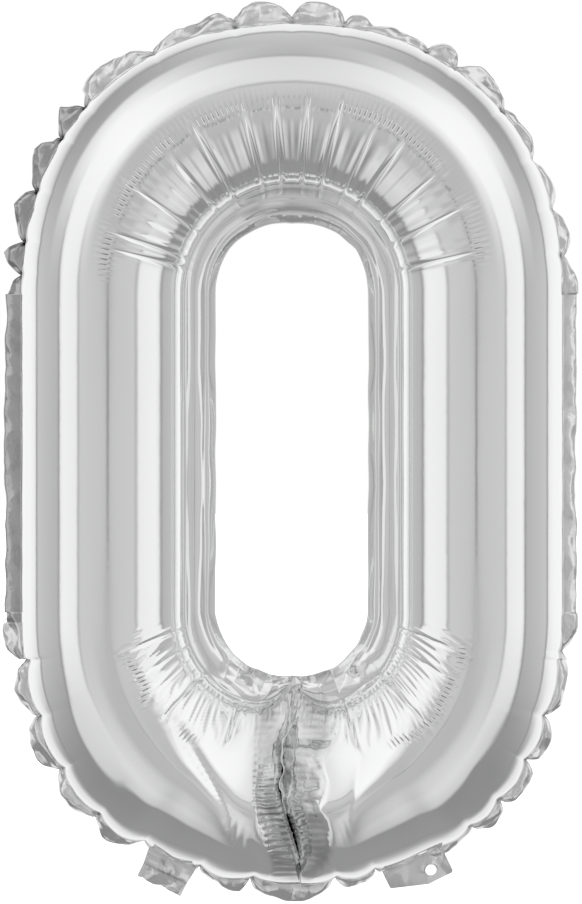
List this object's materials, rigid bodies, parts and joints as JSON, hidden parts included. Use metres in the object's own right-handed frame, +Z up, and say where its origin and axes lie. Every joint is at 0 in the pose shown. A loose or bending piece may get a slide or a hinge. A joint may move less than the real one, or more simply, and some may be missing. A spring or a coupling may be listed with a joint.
{
  "type": "foil number balloon",
  "caption": "Air-filled silver foil balloon in the shape of the digit 0, with a crinkled flange, holed hang tab, fill tail and self-closing valve.",
  "frame": {"origin": "below the middle of the digit, level with the lowest edge of its flange, halfway through its depth", "axes": "+Z up the digit, +X to the right as the digit is read, +Y towards the back"},
  "size_m": [0.236, 0.068, 0.366],
  "materials": {
    "foil_tube": "polished",
    "foil_flange": "gloss",
    "valve_film": "gloss",
    "release_print": "matte"
  },
  "bodies": {
    "balloon": {"front_film": "foil_tube", "back_film": "foil_tube", "outer_seam": "foil_flange", "inner_seam": "foil_flange", "closing_seam": "foil_flange", "neck_front_ply": "valve_film", "neck_back_ply": "valve_film"},
    "hang_tab": {"hang_tab": "foil_flange"},
    "fill_tail": {"tail_front_ply": "foil_flange", "tail_back_ply": "foil_flange", "tail_side_welds": "foil_flange"},
    "valve_tongue": {"valve_front_ply": "valve_film", "valve_back_ply": "valve_film", "valve_side_welds": "valve_film", "valve_release_strip": "release_print"}
  },
  "joints": [
    {"name": "tab_fold", "type": "hinge", "parent": "balloon", "child": "hang_tab", "pos_m": [0.04934, 0, 0.01684], "axis": [0.8988, 0, 0.4384], "range_deg": [-100, 100]},
    {"name": "tail_fold", "type": "hinge", "parent": "balloon", "child": "fill_tail", "pos_m": [-0.05197, 0, 0.01145], "axis": [0.8988, 0, -0.4384], "range_deg": [-110, 110]},
    {"name": "valve_swing", "type": "hinge", "parent": "balloon", "child": "valve_tongue", "pos_m": [-0.048, 0, 0.01958], "axis": [0.8988, 0, -0.4384], "range_deg": [-28, 28]}
  ]
}
